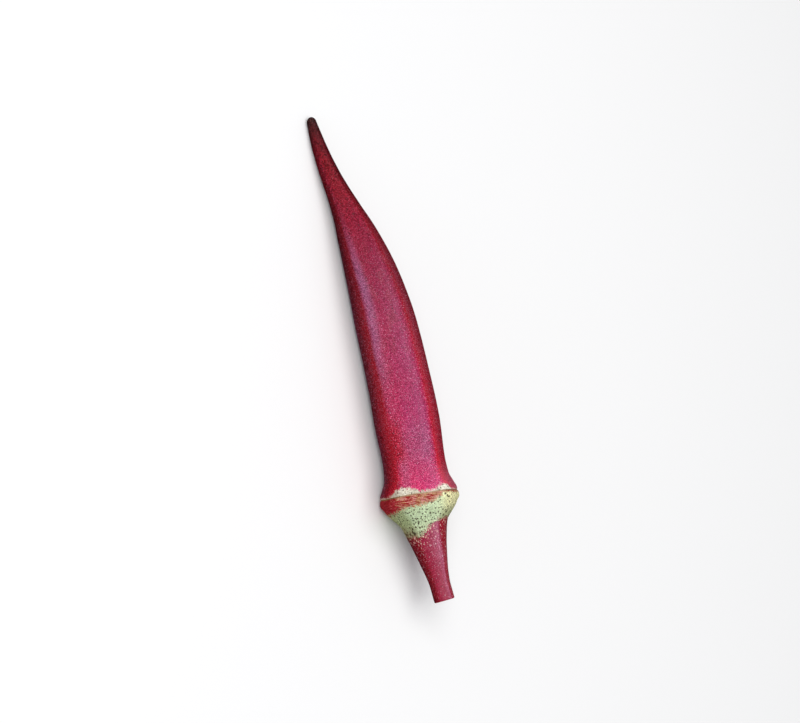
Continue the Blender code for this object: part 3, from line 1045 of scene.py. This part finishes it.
def bristle_finish(name, dark, pale):
    finish = Finish(name)
    spot = finish.node("ShaderNodeTexCoord", {}, {}, "Object")
    tone = finish.speckle(spot, TONES_PER_METRE).rising(0.3, 0.7)
    finish.set(Base_Color=finish.mix(tone, dark, pale), Roughness=0.45, Specular_IOR_Level=0.2)
    return finish.material


short_bristle = bristle_finish("okra_bristle", (0.48, 0.10, 0.14), (0.90, 0.62, 0.66))
long_bristle = bristle_finish("okra_long_bristle", (0.80, 0.45, 0.52), (0.97, 0.88, 0.90))

# %% [markdown]
# ## Six coats
# Short bristles stand all over the body, the stalk and the cap, and closer together on the ribs. The flat
# coats are the few longer hairs that lie forward along the skin. Each row gives how many, between which
# stations, how long and how thick in metres, and how far they tilt towards the beak.

# %% Set the coats
coats = (
    coat("body_bristles", 20000, (0.0005, 0.134), (0.00014, 0.00034), 0.000018, 0.5, seed=11),
    coat("flat_bristles", 2200, (0.002, 0.125), (0.00035, 0.00070), 0.000050, 2.2, seed=14),
    coat("rib_bristles", 7000, (0.002, 0.134), (0.00020, 0.00045), 0.000026, 0.5, seed=15, rib_spread=0.07),
    coat("stalk_bristles", 2500, (-0.0365, -0.008), (0.00015, 0.00035), 0.000024, 0.4, seed=12),
    coat("stalk_flat_bristles", 350, (-0.0365, -0.008), (0.00035, 0.00080), 0.000050, 2.2, seed=16),
    coat("cap_bristles", 1500, (-0.014, 0.001), (0.00008, 0.00020), 0.000022, 0.3, seed=13),
)
for piece in coats:
    piece.data.materials.append(long_bristle if "flat" in piece.name else short_bristle)

# %% [markdown]
# ## Floor, light and camera
# The pod lies on a plain pale surface under soft light. The large lamp hangs overhead, a little towards the
# camera, so the broad face is bright and the faces that turn away fall into deeper red, deepened further by
# the painted shade on the skin. A weak cool lamp low on the camera's side adds a little cool light along the
# near rib, beside the painted violet reflection there.

# %% Floor
FLOOR_SIZE = 4.0
FLOOR_WHITE = (0.91, 0.91, 0.91, 1)


def make_floor():
    sheet = bmesh.new()
    bmesh.ops.create_grid(sheet, x_segments=1, y_segments=1, size=FLOOR_SIZE)
    bmesh.ops.translate(sheet, verts=sheet.verts[:], vec=(0, 0, box_low[2]))
    return new_piece("floor", sheet)


floor = make_floor()
floor_finish = Finish("pale_floor")
floor_finish.set(Base_Color=FLOOR_WHITE, Roughness=0.75, Specular_IOR_Level=0.1)
floor.data.materials.append(floor_finish.material)

# %% Camera
EYE = Vector((0.0249, -0.4275, 0.5082))
AIM = Vector((0.0034, 0.0047, 0.0120))
ROLL = math.radians(75.07)
LENS_MM = 85.0
SENSOR_MM = 36.0
NEAREST_SEEN = 0.01

camera = bpy.data.objects.new("camera", bpy.data.cameras.new("camera"))
bpy.context.scene.collection.objects.link(camera)
camera.data.lens = LENS_MM
camera.data.sensor_width = SENSOR_MM
camera.data.clip_start = NEAREST_SEEN
look = (AIM - EYE).to_track_quat("-Z", "Y").to_matrix().to_4x4()
camera.matrix_world = Matrix.Translation(EYE) @ look @ Matrix.Rotation(ROLL, 4, "Z")
bpy.context.scene.camera = camera
print("camera %.0f mm from the pod" % ((EYE - AIM).length * 1000))

# %% Lamps
def facing(turn, lean):
    """A direction over the pod: degrees from overhead towards the near side, and towards the beak."""
    turn, lean = math.radians(turn), math.radians(lean)
    return Vector((-math.sin(lean), -math.sin(turn) * math.cos(lean), math.cos(turn) * math.cos(lean)))


def lamp(name, direction, distance, size, brightness, colour):
    """A square soft lamp that faces the pod. At brightness 1 it lights a white card to full white."""
    light = bpy.data.lights.new(name, "AREA")
    light.shape = "SQUARE"
    light.size = size
    light.energy = brightness * math.pi**2 * distance**2
    light.color = colour
    holder = bpy.data.objects.new(name, light)
    bpy.context.scene.collection.objects.link(holder)
    turn = (-direction).to_track_quat("-Z", "Y").to_matrix().to_4x4()
    holder.matrix_world = Matrix.Translation(AIM + direction * distance) @ turn
    return holder


lamp("key_lamp", facing(14, 8), distance=1.2, size=1.4, brightness=1.10, colour=(1.0, 0.99, 0.98))
lamp("rib_lamp", facing(80, 5), distance=0.9, size=0.30, brightness=0.07, colour=(0.66, 0.70, 1.0))

# %% World and view
WORLD_COLOUR = (0.95, 0.97, 1.0, 1)
WORLD_STRENGTH = 0.38

world = bpy.data.worlds.new("studio")
world.use_nodes = True
background = world.node_tree.nodes["Background"]
background.inputs["Color"].default_value = WORLD_COLOUR
background.inputs["Strength"].default_value = WORLD_STRENGTH
bpy.context.scene.world = world
bpy.context.scene.view_settings.view_transform = "Standard"
